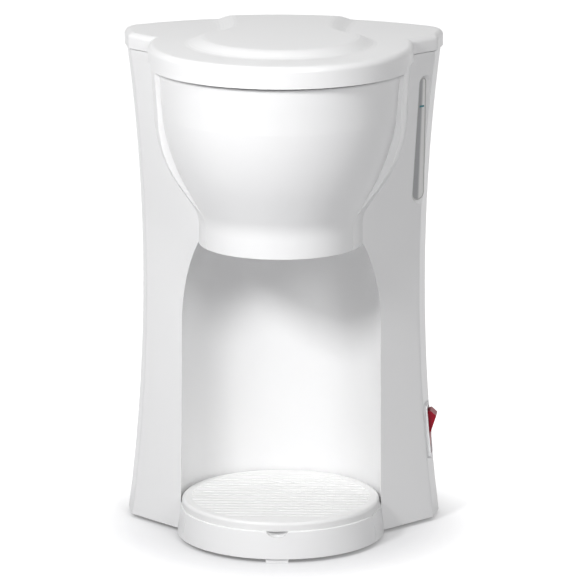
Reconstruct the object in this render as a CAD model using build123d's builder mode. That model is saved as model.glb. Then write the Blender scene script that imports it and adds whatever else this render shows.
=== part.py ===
"""One-cup drip coffee maker, built piece by piece in millimetres.

+Z is up and the front faces -Y. The origin is on the table, under the middle of the whole object.
Sketches are drawn about the mug axis, the upright line through the middle of mug, bowl and platform.
"""

import os
from math import asin, cos, degrees, radians, sin, sqrt

from build123d import *

os.makedirs("parts", exist_ok=True)

# Whole object
MUG_Y = -4.3
WALL = 2.2
FIT = 0.3
SEAT = 0.05
RUNNING = 0.05

# Column: a waisted tube with slanted cheeks, a crease on each side and an arched back
BODY_FOOT = 2.0
BODY_TOP = 228.0
WAIST_Z = 118.0
WAIST_HALF = 66.85
SIDE_RADIUS = 890.0
BACK_Y = 68.8
BACK_RADIUS = 128.0
CORNER_OUT = 1.2
CORNER_ROUND = 10.0
CREASE_IN = 2.2
CREASE_Y = 25.5
CREASE_ROUND = 2.6
CHEEK_SLOPE = 1.0
NOSE_X = 28.0
REAR_SPLIT_Y = 44.0
COLUMN_SECTIONS = 7

# Mug recess and the platform below it
RECESS_RADIUS = 47.4
DOME_Z = 100.0
PLATFORM_RADIUS = 48.8
PLATFORM_TOP_RADIUS = 47.2
PLATFORM_TOP = 14.8
PLATFORM_FLOOR = 2.2
PLATFORM_ROUND = 0.5
SCOOP_RADIUS = 6.2
SCOOP_OUT = 0.2
SCOOP_UP = 3.2
SEAM_WIDTH = 0.6
SEAM_DEPTH = 0.4

# Drip tray
TRAY_RADIUS = 46.6
TRAY_TOP = 19.0
TRAY_ROUND = 1.6
TRAY_SKIN = 2.0
SPIGOT_RADIUS = 43.0
SPIGOT_DEPTH = 3.2
TRAY_GROOVE_WIDTH = 2.2
TRAY_GROOVE_DEPTH = 0.2
TRAY_GROOVE_PITCH = 4.4
TRAY_GROOVES = 17
TRAY_RIM = 4.5

# Brew bowl, a turned shape: radius and height of each point of its outside
NECK_RADIUS = 38.2
NECK_Z = 142.0
NECK_TOP = 151.0
FLARE_LOW = (40.0, 158.4)
FLARE_HIGH = (46.2, 170.4)
SHOULDER = (56.6, 203.5)
BOWL_TOP_RADIUS = 58.2
BOWL_TOP = 224.8
DRIP_HOLE_RADIUS = 12.0
FRONT_SPLIT_Y = -17.5
FRONT_GROOVE = 0.5
FLANGE_OUT = 2.0

# Lid
LID_GAP = 1.0
LID_REAR_GAP = 0.5
LID_TOP = 236.0
LID_RADIUS = 61.4
LID_OVERHANG = 1.1
LID_SKIN = 2.4
LID_ROUND = 2.8
PLATEAU_RADIUS = 44.4
PLATEAU_HEIGHT = 3.3
PLATEAU_SLOPE = 9.4
PLATEAU_STEPS = 6
PLATEAU_TURN = (37.0, 17.2)
PLATEAU_NECK = (31.0, 28.0)
PLATEAU_LEAVE_DEG = 8.0
PLATEAU_TAIL_X = 35.0
SPREADER_RADIUS = 34.0
SPREADER_SKIN = 1.6
SPREADER_DROP = 3.0
SPREADER_HOLE_RADIUS = 1.5
SPREADER_HOLES = 8
SPREADER_RING = 21.0
SPREADER_ARM = 13.0

# Lid hinge
HINGE_IN = 4.4
HINGE_Z = 229.6
HINGE_BARREL_RADIUS = 3.6
HINGE_BARREL_HALF = 18.0
HINGE_EAR_WIDTH = 5.0
HINGE_EAR_GAP = 0.4
HINGE_EAR_BACK = 1.8
HINGE_PIN_RADIUS = 1.5
HINGE_SLOT_HALF = 38.0
HINGE_SLOT_Z = 222.4

# Top deck and water tank
DECK_Z = 216.4
DECK_SKIN = 2.2
BASKET_RADIUS = 49.5
TANK_FLOOR_Z = 118.0
TANK_SKIN = 1.6
TANK_GAP = 0.8
FILL_EDGE_X = -20.0
TANK_POST = (42.0, 31.0)
TANK_POST_Z = 64.0

# Brew basket and permanent filter
FLANGE_SKIN = 1.8
FLANGE_OVER = 3.2
BASKET_FOOT_RADIUS = 33.0
BASKET_FLOOR_Z = 150.0
BASKET_SKIN = 1.8
SPOUT_RADIUS = 8.0
SPOUT_BORE = 5.5
SPOUT_TIP_Z = 139.5
FILTER_FLANGE_RADIUS = 51.0
FILTER_MOUTH_RADIUS = 43.5
FILTER_FOOT_RADIUS = 20.0
FILTER_FOOT_Z = 157.0
FILTER_RIBS = 6
FILTER_RIB_WIDTH = 3.0
FILTER_SKIN = 1.6
MESH_SKIN = 0.5

# Boiler: a U of water tube with the heating rod round it
BOILER_BACK = 10.0
TUBE_RADIUS = 4.75
TUBE_BORE = 3.4
TUBE_LEG_X = 20.0
TUBE_TOP_Z = 88.0
BEND_Z = 50.0
ROD_RADIUS = 3.25
ROD_GAP = 0.3
ROD_TOP_Z = 66.0
PIN_RADIUS = 1.2
PIN_LENGTH = 10.0
BRACKET_Z = 60.0
BRACKET_SKIN = 3.0
BRACKET_HALF = 40.0
BRACKET_FRONT_Y = 33.0
BOSS = (34.0, 40.0)
BOSS_RADIUS = 4.0
ROD_HOLE_GAP = 0.6
SCREW_RADIUS = 1.5
SCREW_HEAD_RADIUS = 2.9
SCREW_HEAD = 1.8
SCREW_LENGTH = 8.4
SCREW_CROSS = (3.4, 0.9, 0.8)
THERMOSTAT_RADIUS = 5.5
THERMOSTAT_HEIGHT = 7.0
BLADE_X = 3.0
BLADE = (1.0, 3.2, 5.0)

# Hoses, riser and check valve
HOSE_RADIUS = 6.4
HOSE_GRIP = 8.0
RISER = (50.0, 44.0)
RISER_FOOT_Z = 109.0
RISER_TOP_Z = 223.5
RISER_BEND_LOW_Z = 96.0
RISER_BEND_HIGH_Z = 101.0
RISER_BEND_RADIUS = 9.0
TANK_SPIGOT = 6.0
CLAMP_SKIN = 1.0
CLAMP_WIDTH = 4.0
CLAMP_LOW_Z = 84.0
CLAMP_HIGH_Z = 110.5
GROMMET_RADIUS = 8.0
GROMMET_FLANGE = 2.0
GROMMET_NECK = 1.6
VALVE_FOOT_GAP = 8.0
VALVE_LENGTH = 12.0
VALVE_LIP = 2.2
VALVE_CHAMBER = 3.4
VALVE_HOLE = 2.0
VALVE_SLOT = 1.4
BALL_RADIUS = 2.8
BALL_GAP = 0.15

# Rocker switch on the right side
SWITCH_Y = 34.0
SWITCH_Z = 43.0
SWITCH_TURN = 5.0
BEZEL_WIDTH = 12.6
BEZEL_HEIGHT = 26.0
BEZEL_PROUD = 1.0
BEZEL_SUNK = 0.6
BEZEL_ROUND = 1.8
SWITCH_CASE_IN = 0.6
SWITCH_DEPTH = 14.0
ROCKER_WIDTH = 8.4
ROCKER_HALF = 10.8
ROCKER_CREST = (8.8, 4.8)
ROCKER_VALLEY = 3.6
ROCKER_SHOULDER = 1.6
ROCKER_UNDER = (8.0, -3.2)
ROCKER_TILT = 15.0
ROCKER_CLEAR = 0.6
ROCKER_ROOM = 9.6
ROCKER_ROUND = 0.6
PIVOT_DEPTH = 2.0
PIVOT_RADIUS = 1.3
TERMINAL_PITCH = 7.0
TERMINAL = (6.3, 0.8, 6.3)

# Water window in the right cheek
WINDOW_Z = 186.0
WINDOW_LENGTH = 59.0
WINDOW_LOW_RADIUS = 3.6
WINDOW_HIGH_RADIUS = 2.1
WINDOW_FROM_CREASE = 2.2
WINDOW_TURN = 1.5
WINDOW_FLARE_DEG = 40.0
WINDOW_SUNK = 1.6
WINDOW_SKIN = 1.2
GASKET_SKIN = 0.6
WINDOW_REACH = 8.0

# Underside
PLATE_SKIN = 2.2
FOOT_FRONT_WIDTH = 10.4
FOOT_FRONT_DEPTH = 9.0
FOOT_FRONT_Y = -43.5
FOOT_REAR = (50.0, 46.0)
FOOT_REAR_RADIUS = 6.0
FOOT_STEM_RADIUS = 2.2
FOOT_STEM_UP = 1.5
PLATFORM_BOSS = (26.0, -26.0)
REAR_BOSS = (36.0, 58.0)
REAR_BOSS_TOP = 22.0

# Cord inlet and fixed wiring
GLAND_Z = 11.5
GLAND_RADIUS = 5.0
GLAND_BORE = 3.6
GLAND_FLANGE_RADIUS = 6.6
GLAND_FLANGE = 1.2
GLAND_TAIL = 2.4
GLAND_BARB_RADIUS = 6.2
BLOCK_IN = 12.85
BLOCK_Y = 31.0
BLOCK_SIZE = (16.0, 10.0, 9.0)
BLOCK_WELL_RADIUS = 1.8
BLOCK_WELL_DEPTH = 3.0
BLOCK_PITCH = 5.0
LEAD_RADIUS = 1.1
LEAD_BEND = 3.0
LEAD_LOW_Z = 9.0
LEAD_HIGH_Z = 15.0
LEAD_OVER_Z = 80.0
FUSE_RADIUS = 2.4
FUSE_LENGTH = 12.0
FUSE_FOOT = (43.0, 46.0, 66.0)

# Sizes worked out from the ones above
LID_FRONT_FOOT = BOWL_TOP + LID_GAP
LID_REAR_FOOT = BODY_TOP + LID_REAR_GAP
LID_UNDER = LID_TOP - LID_SKIN
SPREADER_Z = LID_UNDER - SPREADER_DROP - SPREADER_SKIN
HINGE_Y = BACK_Y - HINGE_IN
EAR_ROOT = HINGE_Z - DECK_Z - DECK_SKIN - FIT
EAR_INNER = HINGE_BARREL_HALF + HINGE_EAR_GAP
EAR_OUTER = EAR_INNER + HINGE_EAR_WIDTH + HINGE_EAR_GAP
RECESS_SKIN_RADIUS = RECESS_RADIUS + WALL
BOILER_Y = BACK_Y - WALL - BOILER_BACK
ROD_LEG_X = TUBE_LEG_X + TUBE_RADIUS + ROD_RADIUS + ROD_GAP
DECK_TOP = DECK_Z + DECK_SKIN
FLANGE_TOP = DECK_TOP + FLANGE_SKIN
BOWL_LEAN = (BOWL_TOP_RADIUS - SHOULDER[0]) / (BOWL_TOP - SHOULDER[1])
DECK_RING_RADIUS = SHOULDER[0] + BOWL_LEAN * (DECK_Z - SHOULDER[1]) - WALL - FIT
PLATE_TOP = BODY_FOOT + PLATE_SKIN
POCKET_Z = PLATFORM_TOP - SPIGOT_DEPTH - FIT
BRACKET_TOP = BRACKET_Z + BRACKET_SKIN
FILTER_TOP = FLANGE_TOP + FILTER_SKIN
GROMMET_HOLE = TUBE_RADIUS + GROMMET_NECK + SEAT
INLET = (-TUBE_LEG_X, BOILER_Y)
VALVE_FOOT_Z = TUBE_TOP_Z + VALVE_FOOT_GAP
VALVE_TOP_Z = VALVE_FOOT_Z + VALVE_LENGTH
SPIGOT_FOOT_Z = TANK_FLOOR_Z - TANK_SPIGOT
MUG_AXIS = Axis((0, MUG_Y, 0), (0, 0, 1))
MUG_SECTION = Plane((0, MUG_Y, 0), x_dir=(1, 0, 0), z_dir=(0, -1, 0))
FAR = 400.0
BLOCK_PLACE = (BLOCK_IN - WAIST_HALF, BLOCK_Y)
HINGE_LINE = Plane((0, MUG_Y + HINGE_Y, HINGE_Z), x_dir=(0, 1, 0), z_dir=(1, 0, 0))
GLAND_LINE = Plane((0, MUG_Y + BACK_Y, GLAND_Z), x_dir=(1, 0, 0), z_dir=(0, 1, 0))


def level(z):
    """Horizontal plane at height z, centred on the mug axis."""
    return Plane((0, MUG_Y, z))


def half_width(z):
    """Half the column's width at height z: the sides are drawn in to a waist."""
    return WAIST_HALF + (z - WAIST_Z) ** 2 / (2 * SIDE_RADIUS)


def back_edge(x):
    """How far back the column's arched back is at a place across it."""
    return BACK_Y - BACK_RADIUS + sqrt(BACK_RADIUS**2 - x**2)


def both_sides(point):
    """A place and its mirror image across the middle of the object."""
    x, y = point
    return [(x, y), (-x, y)]


def column_face(z, inset=0.0, at=None):
    """Column's outline in plan at a height, drawn in by the inset and laid at another height if asked."""
    half = half_width(z)
    corner_x = half + CORNER_OUT
    crease_x = half - CREASE_IN
    corner = (corner_x, back_edge(corner_x))
    crease = (crease_x, CREASE_Y)
    nose = (NOSE_X, CREASE_Y - CHEEK_SLOPE * (crease_x - NOSE_X))
    with BuildSketch(level(z if at is None else at)) as face:
        with BuildLine() as edge:
            Line((0, nose[1]), nose)
            Line(nose, crease)
            Line(crease, corner)
            ThreePointArc(corner, (corner_x / 2, back_edge(corner_x / 2)), (0, BACK_Y))
            mirror(about=Plane.YZ)
        make_face(edge.edges())
        across = face.vertices().sort_by(Axis.X)
        fillet([across[0], across[-1]], CORNER_ROUND)
        if inset <= 0:
            fillet(face.vertices().filter_by_position(Axis.Y, CREASE_Y - FIT, CREASE_Y + FIT), CREASE_ROUND)
        if inset:
            offset(amount=-inset, kind=Kind.INTERSECTION, mode=Mode.REPLACE)
    return face.sketch


def column_stack(inset, low, high):
    """Stack of column outlines between two heights, each drawn in by the inset."""
    steps = COLUMN_SECTIONS - 1
    return [column_face(low + (high - low) * i / steps, inset) for i in range(COLUMN_SECTIONS)]


def bowl_section(inset, foot, top, flange=0.0):
    """Half section of the bowl about the mug axis, from its foot up to its top, wider above by the flange."""
    neck_foot = (NECK_RADIUS - inset, foot)
    neck_top = (NECK_RADIUS - inset, NECK_TOP)
    flare_low = (FLARE_LOW[0] - inset, FLARE_LOW[1])
    flare_high = (FLARE_HIGH[0] - inset + flange, FLARE_HIGH[1])
    shoulder = (SHOULDER[0] - inset + flange, SHOULDER[1])
    rim = (BOWL_TOP_RADIUS - inset + flange, top)
    with BuildSketch(MUG_SECTION) as face:
        with BuildLine() as edge:
            Line((0, foot), neck_foot)
            Line(neck_foot, neck_top)
            TangentArc(neck_top, flare_low, tangent=(0, 1))
            flare = Line(flare_low, flare_high)
            TangentArc(flare_high, shoulder, tangent=flare % 1)
            Polyline(shoulder, rim, (0, top), (0, foot))
        make_face(edge.edges())
    return face.sketch


def recess_section(outset):
    """Half section of the mug recess: upright below, drawn in to the neck above."""
    side = RECESS_RADIUS + outset
    neck = NECK_RADIUS + outset
    high = NECK_Z + outset
    with BuildSketch(MUG_SECTION) as face:
        with BuildLine() as edge:
            Polyline((0, PLATFORM_TOP), (side, PLATFORM_TOP), (side, DOME_Z))
            TangentArc((side, DOME_Z), (neck, NECK_Z), tangent=(0, 1))
            if outset:
                Line((neck, NECK_Z), (neck, high))
            Polyline((neck, high), (0, high), (0, PLATFORM_TOP))
        make_face(edge.edges())
    return face.sketch


def platform_section(outset, foot):
    """Half section of the platform's drafted drum, made wider by the outset."""
    draft = (PLATFORM_RADIUS - PLATFORM_TOP_RADIUS) / (PLATFORM_TOP - BODY_FOOT)
    foot_radius = PLATFORM_RADIUS + draft * (BODY_FOOT - foot)
    with BuildSketch(MUG_SECTION) as face:
        with BuildLine() as edge:
            Polyline(
                (0, foot),
                (foot_radius + outset, foot),
                (PLATFORM_TOP_RADIUS + outset, PLATFORM_TOP),
                (0, PLATFORM_TOP),
                close=True,
            )
        make_face(edge.edges())
    return face.sketch


def turned(*points):
    """Ring or disc turned about the mug axis from its half section."""
    with BuildSketch(MUG_SECTION) as face:
        with BuildLine() as edge:
            Polyline(*points, close=True)
        make_face(edge.edges())
    revolve(face.sketch, axis=MUG_AXIS)


def posts(places, radius, low, high, mode=Mode.ADD):
    """Upright round posts, or holes, between two heights."""
    with BuildSketch(level(low)) as face:
        with Locations(*places):
            Circle(radius)
    extrude(face.sketch, amount=high - low, mode=mode)


def pipe(place, radius, bore, low, high):
    """Upright pipe at a place."""
    with BuildSketch(level(low)) as face:
        with Locations(place):
            Circle(radius)
            Circle(bore, mode=Mode.SUBTRACT)
    extrude(face.sketch, amount=high - low)


def bent_rod(points, bend, radius, mode=Mode.ADD):
    """Round rod along straight runs joined by arcs, through points given about the mug axis."""
    placed = [(x, y + MUG_Y, z) for x, y, z in points]
    with BuildLine() as route:
        FilletPolyline(*placed, radius=bend)
    with BuildSketch(Plane(origin=route.wire() @ 0, z_dir=route.wire() % 0)) as face:
        Circle(radius)
    sweep(face.sketch, path=route.wire(), mode=mode)


def u_bend(leg_x, top, radius, mode=Mode.ADD):
    """Round rod bent to a U, standing on its bend in the boiler's plane."""
    with BuildLine(Plane((0, MUG_Y + BOILER_Y, 0), x_dir=(1, 0, 0), z_dir=(0, -1, 0))) as route:
        Line((-leg_x, top), (-leg_x, BEND_Z))
        ThreePointArc((-leg_x, BEND_Z), (0, BEND_Z - leg_x), (leg_x, BEND_Z))
        Line((leg_x, BEND_Z), (leg_x, top))
    with BuildSketch(level(top)) as face:
        with Locations((-leg_x, BOILER_Y)):
            Circle(radius)
    sweep(face.sketch, path=route.wire(), mode=mode)


def screws(places, head_z, up, length):
    """Cross-head screws whose heads sit at a height and whose shanks run up (1) or down (-1)."""
    posts(places, SCREW_RADIUS, head_z, head_z + up * length)
    posts(places, SCREW_HEAD_RADIUS, head_z, head_z - up * SCREW_HEAD)
    span, width, depth = SCREW_CROSS
    with BuildSketch(level(head_z - up * SCREW_HEAD)) as cross:
        with Locations(*places):
            Rectangle(span, width)
            Rectangle(width, span)
    extrude(cross.sketch, amount=up * depth, mode=Mode.SUBTRACT)


def finish(builder, name):
    """Name a finished piece and write it."""
    builder.part.label = name
    export_step(builder.part, f"parts/{name}.step")


# Bodies that several pieces are cut from or to
with BuildPart() as column_outside:
    loft(column_stack(0, BODY_FOOT, BODY_TOP))

with BuildPart() as column_inside:
    loft(column_stack(WALL, BODY_FOOT - WALL, BODY_TOP + WALL))

with BuildPart() as deck_space:
    add(column_inside.part)
    split(bisect_by=Plane.XY.offset(DECK_Z), keep=Keep.TOP)

with BuildPart() as bowl_outside:
    revolve(bowl_section(0, NECK_Z, BOWL_TOP), axis=MUG_AXIS)

with BuildPart() as bowl_inside:
    revolve(bowl_section(WALL, NECK_Z + WALL, BOWL_TOP), axis=MUG_AXIS)
    posts([(0, 0)], BOWL_TOP_RADIUS - WALL, BOWL_TOP, BODY_TOP + WALL)

with BuildPart() as bowl_flange:
    revolve(bowl_section(0, NECK_Z, BODY_TOP, FLANGE_OUT), axis=MUG_AXIS)
    add(column_inside.part, mode=Mode.SUBTRACT)

with BuildPart() as recess_space:
    revolve(recess_section(0), axis=MUG_AXIS)

with BuildPart() as recess_skin:
    revolve(recess_section(WALL), axis=MUG_AXIS)
    add(column_outside.part, mode=Mode.INTERSECT)

with BuildPart() as bowl_wall:
    add(bowl_outside.part)
    add(bowl_inside.part, mode=Mode.SUBTRACT)
    posts([(0, 0)], DRIP_HOLE_RADIUS, NECK_Z - WALL, NECK_Z + 2 * WALL, mode=Mode.SUBTRACT)

FRONT_SPLIT = Plane((0, MUG_Y + FRONT_SPLIT_Y, 0), z_dir=(0, 1, 0))
REAR_SPLIT = Plane((0, MUG_Y + REAR_SPLIT_Y, 0), z_dir=(0, 1, 0))

# Window and switch planes: local X runs level along the wall, local Y up it, local Z out of it
side_lean = (SWITCH_Z - WAIST_Z) / SIDE_RADIUS
side_half = half_width(SWITCH_Z)
side_wall = Vector(CREASE_IN + CORNER_OUT, back_edge(side_half + CORNER_OUT) - CREASE_Y, 0).normalized()
side_run = side_wall.rotate(Axis.Z, SWITCH_TURN)
side_out = Vector(side_run.Y, -side_run.X, -side_lean * side_run.Y).normalized()
SWITCH_AT = Vector(side_half - CREASE_IN, MUG_Y + CREASE_Y, SWITCH_Z) + side_wall * (SWITCH_Y - CREASE_Y)
SWITCH = Plane(SWITCH_AT, x_dir=side_run, z_dir=side_out)
PIVOT = SWITCH.offset(-PIVOT_DEPTH)
ROCKER = Plane(PIVOT.origin, x_dir=SWITCH.y_dir, z_dir=SWITCH.x_dir)

cheek_lean = (WINDOW_Z - WAIST_Z) / SIDE_RADIUS
cheek_run = Vector(1, CHEEK_SLOPE, 0).normalized()
cheek_out = Vector(cheek_run.Y, -cheek_run.X, -cheek_lean * cheek_run.Y).normalized()
WINDOW_AT = (
    Vector(half_width(WINDOW_Z) - CREASE_IN, MUG_Y + CREASE_Y, WINDOW_Z) - cheek_run * WINDOW_FROM_CREASE
)
window_turn = degrees(cheek_lean * cheek_run.X) + WINDOW_TURN
WINDOW = Plane(WINDOW_AT, x_dir=cheek_run, z_dir=cheek_out).rotated((0, 0, -window_turn))


def window_face(depth, shrink):
    """Window's outline at a depth behind the cheek, drawn in by a margin: a slot that narrows upwards."""
    low_radius = WINDOW_LOW_RADIUS - shrink
    high_radius = WINDOW_HIGH_RADIUS - shrink
    low = WINDOW_LOW_RADIUS - WINDOW_LENGTH / 2
    high = WINDOW_LENGTH / 2 - WINDOW_HIGH_RADIUS
    lean = asin((low_radius - high_radius) / (high - low))
    low_side = (low_radius * cos(lean), low + low_radius * sin(lean))
    high_side = (high_radius * cos(lean), high + high_radius * sin(lean))
    with BuildSketch(WINDOW.offset(-depth)) as face:
        with BuildLine() as edge:
            ThreePointArc((-low_side[0], low_side[1]), (0, low - low_radius), low_side)
            Line(low_side, high_side)
            ThreePointArc(high_side, (0, high + high_radius), (-high_side[0], high_side[1]))
            Line((-high_side[0], high_side[1]), (-low_side[0], low_side[1]))
        make_face(edge.edges())
    return face.sketch


# Main housing: cheeks, sides, mug recess and the wall of the bowl behind its front
with BuildPart() as main_housing:
    add(column_outside.part)
    add(column_inside.part, mode=Mode.SUBTRACT)
    split(bisect_by=REAR_SPLIT, keep=Keep.BOTTOM)
    add(recess_skin.part)
    posts(both_sides(BOSS), BOSS_RADIUS, PLATE_TOP, BRACKET_Z)
    posts(both_sides(TANK_POST), BOSS_RADIUS, TANK_POST_Z, TANK_FLOOR_Z)
    add(bowl_outside.part)
    add(bowl_flange.part)
    add(recess_space.part, mode=Mode.SUBTRACT)
    add(bowl_inside.part, mode=Mode.SUBTRACT)
    add(deck_space.part, mode=Mode.SUBTRACT)
    posts([(0, 0)], DRIP_HOLE_RADIUS, NECK_Z - WALL, NECK_Z + 2 * WALL, mode=Mode.SUBTRACT)
    revolve(platform_section(SEAT, 0), axis=MUG_AXIS, mode=Mode.SUBTRACT)
    posts(both_sides(BOSS), SCREW_RADIUS + SEAT, PLATE_TOP, PLATE_TOP + SCREW_LENGTH, mode=Mode.SUBTRACT)
    posts(both_sides(BOSS), SCREW_RADIUS + SEAT, BRACKET_Z - SCREW_LENGTH, BRACKET_Z, mode=Mode.SUBTRACT)
    with BuildSketch(Plane((0, MUG_Y + FRONT_SPLIT_Y, NECK_Z), z_dir=(0, -1, 0))):
        Rectangle(FAR, FAR)
    extrude(amount=FAR, mode=Mode.SUBTRACT)
    extrude(window_face(WINDOW_REACH, 0), amount=WINDOW_REACH, mode=Mode.SUBTRACT)
    extrude(window_face(WINDOW_SUNK, 0), amount=WINDOW_REACH, taper=-WINDOW_FLARE_DEG, mode=Mode.SUBTRACT)
    with BuildSketch(SWITCH.offset(-WINDOW_REACH)):
        Rectangle(BEZEL_WIDTH - 2 * SWITCH_CASE_IN + FIT, BEZEL_HEIGHT - 2 * SWITCH_CASE_IN + FIT)
    extrude(amount=2 * WINDOW_REACH, mode=Mode.SUBTRACT)
    with BuildSketch(SWITCH.offset(-BEZEL_SUNK - SEAT)):
        RectangleRounded(BEZEL_WIDTH + 2 * SEAT, BEZEL_HEIGHT + 2 * SEAT, BEZEL_ROUND + SEAT)
    extrude(amount=WINDOW_REACH, mode=Mode.SUBTRACT)
finish(main_housing, "main_housing")

# Front of the bowl, with a fine groove where it meets the housing
with BuildPart() as front_groove:
    revolve(bowl_section(0, NECK_Z, BOWL_TOP), axis=MUG_AXIS)
    revolve(bowl_section(FRONT_GROOVE, NECK_Z, BOWL_TOP), axis=MUG_AXIS, mode=Mode.SUBTRACT)
    split(bisect_by=FRONT_SPLIT, keep=Keep.BOTTOM)
    split(bisect_by=FRONT_SPLIT.offset(-FRONT_GROOVE), keep=Keep.TOP)

with BuildPart() as front_cover:
    add(bowl_wall.part)
    split(bisect_by=FRONT_SPLIT, keep=Keep.BOTTOM)
    add(front_groove.part, mode=Mode.SUBTRACT)
finish(front_cover, "front_cover")

# Rear cover, with the hinge ears, the cord opening and two screw bosses
with BuildPart() as rear_cover:
    add(column_outside.part)
    add(column_inside.part, mode=Mode.SUBTRACT)
    split(bisect_by=REAR_SPLIT, keep=Keep.TOP)
    with BuildSketch(Plane((0, MUG_Y + BACK_Y, HINGE_SLOT_Z), x_dir=(1, 0, 0), z_dir=(0, -1, 0))):
        Rectangle(2 * HINGE_SLOT_HALF, FAR, align=(Align.CENTER, Align.MIN))
    extrude(amount=REAR_SPLIT_Y / 2, mode=Mode.SUBTRACT)
    for side in (EAR_INNER, -EAR_INNER - HINGE_EAR_WIDTH):
        with BuildSketch(HINGE_LINE.offset(side)):
            Circle(HINGE_BARREL_RADIUS)
            Rectangle(2 * HINGE_BARREL_RADIUS, EAR_ROOT, align=(Align.CENTER, Align.MAX))
            with Locations((HINGE_EAR_BACK, 0)):
                Rectangle(FAR, FAR, align=(Align.MIN, Align.CENTER), mode=Mode.SUBTRACT)
        extrude(amount=HINGE_EAR_WIDTH)
    with BuildSketch(HINGE_LINE.offset(-FAR / 2)):
        Circle(HINGE_PIN_RADIUS)
    extrude(amount=FAR, mode=Mode.SUBTRACT)
    posts(both_sides(REAR_BOSS), BOSS_RADIUS, PLATE_TOP, REAR_BOSS_TOP)
    posts(both_sides(REAR_BOSS), SCREW_RADIUS + SEAT, PLATE_TOP, PLATE_TOP + SCREW_LENGTH, mode=Mode.SUBTRACT)
    with BuildSketch(GLAND_LINE.offset(-2 * WALL)):
        Circle(GLAND_RADIUS + SEAT)
    extrude(amount=4 * WALL, mode=Mode.SUBTRACT)
finish(rear_cover, "rear_cover")

# Platform: a shallow drum with a pocket for the tray, a finger scoop at the front and a fine seam each side
with BuildPart() as platform_seams:
    revolve(platform_section(SEAM_DEPTH, 0), axis=MUG_AXIS)
    revolve(platform_section(-SEAM_DEPTH, 0), axis=MUG_AXIS, mode=Mode.SUBTRACT)
    split(bisect_by=FRONT_SPLIT.offset(SEAM_WIDTH / 2), keep=Keep.BOTTOM)
    split(bisect_by=FRONT_SPLIT.offset(-SEAM_WIDTH / 2), keep=Keep.TOP)

with BuildPart() as base_platform:
    revolve(platform_section(0, BODY_FOOT), axis=MUG_AXIS)
    fillet(base_platform.edges().sort_by(Axis.Z)[-1], PLATFORM_ROUND)
    posts([(0, 0)], PLATFORM_RADIUS - WALL, BODY_FOOT, POCKET_Z - PLATFORM_FLOOR, mode=Mode.SUBTRACT)
    posts([(0, 0)], SPIGOT_RADIUS + FIT, POCKET_Z, PLATFORM_TOP, mode=Mode.SUBTRACT)
    posts(both_sides(PLATFORM_BOSS), BOSS_RADIUS, PLATE_TOP, POCKET_Z)
    boss_hole_top = BODY_FOOT + SCREW_LENGTH + SEAT
    posts(both_sides(PLATFORM_BOSS), SCREW_RADIUS + SEAT, PLATE_TOP, boss_hole_top, mode=Mode.SUBTRACT)
    extrude(column_face(BODY_FOOT, WALL, 0), amount=PLATE_TOP + FIT, mode=Mode.SUBTRACT)
    with Locations((0, MUG_Y - PLATFORM_TOP_RADIUS - SCOOP_OUT, PLATFORM_TOP + SCOOP_UP)):
        Sphere(SCOOP_RADIUS, mode=Mode.SUBTRACT)
    add(platform_seams.part, mode=Mode.SUBTRACT)
finish(base_platform, "base_platform")

# Drip tray: a ribbed disc on a hollow spigot
with BuildPart() as drip_tray:
    posts([(0, 0)], TRAY_RADIUS, PLATFORM_TOP, TRAY_TOP)
    fillet(drip_tray.edges().sort_by(Axis.Z)[-1], TRAY_ROUND)
    posts([(0, 0)], SPIGOT_RADIUS, PLATFORM_TOP - SPIGOT_DEPTH, PLATFORM_TOP)
    hollow = SPIGOT_RADIUS - TRAY_SKIN
    posts([(0, 0)], hollow, PLATFORM_TOP - SPIGOT_DEPTH, TRAY_TOP - TRAY_SKIN, mode=Mode.SUBTRACT)
    with BuildSketch(level(TRAY_TOP - TRAY_GROOVE_DEPTH)):
        with GridLocations(0, TRAY_GROOVE_PITCH, 1, TRAY_GROOVES):
            Rectangle(2 * TRAY_RADIUS, TRAY_GROOVE_WIDTH)
        Circle(TRAY_RADIUS - TRAY_RIM, mode=Mode.INTERSECT)
    extrude(amount=TRAY_GROOVE_DEPTH, mode=Mode.SUBTRACT)
finish(drip_tray, "drip_tray")


# Lid: a shell over the column and the bowl, with a raised middle that runs back to the hinge
def plateau_face(inset, at):
    """Outline of the lid's raised middle: a round front, a neck and a flared tail at the lid's rounding."""
    lean = radians(PLATEAU_LEAVE_DEG)
    leave = (PLATEAU_RADIUS * cos(lean), PLATEAU_RADIUS * sin(lean))
    tail = (PLATEAU_TAIL_X, back_edge(PLATEAU_TAIL_X) - LID_ROUND)
    half_tail = (PLATEAU_TAIL_X / 2, back_edge(PLATEAU_TAIL_X / 2) - LID_ROUND)
    with BuildSketch(level(at)) as face:
        with BuildLine() as edge:
            ThreePointArc((0, -PLATEAU_RADIUS), (PLATEAU_RADIUS, 0), leave)
            turn_in = TangentArc(leave, PLATEAU_TURN, tangent=(-sin(lean), cos(lean)))
            turn_back = TangentArc(turn_in @ 1, PLATEAU_NECK, tangent=turn_in % 1)
            TangentArc(turn_back @ 1, tail, tangent=turn_back % 1)
            ThreePointArc(tail, half_tail, (0, BACK_Y - LID_ROUND))
            mirror(about=Plane.YZ)
        make_face(edge.edges())
        if inset:
            offset(amount=-inset, kind=Kind.INTERSECTION, mode=Mode.REPLACE)
    return face.sketch


with BuildPart() as plateau:
    flank = []
    for step in range(PLATEAU_STEPS + 1):
        along = step / PLATEAU_STEPS
        rise = PLATEAU_HEIGHT * along**2 * (3 - 2 * along)
        flank.append(plateau_face(PLATEAU_SLOPE * along, LID_TOP + rise))
    for lower, upper in zip(flank, flank[1:]):
        loft([lower, upper], ruled=True)

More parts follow.
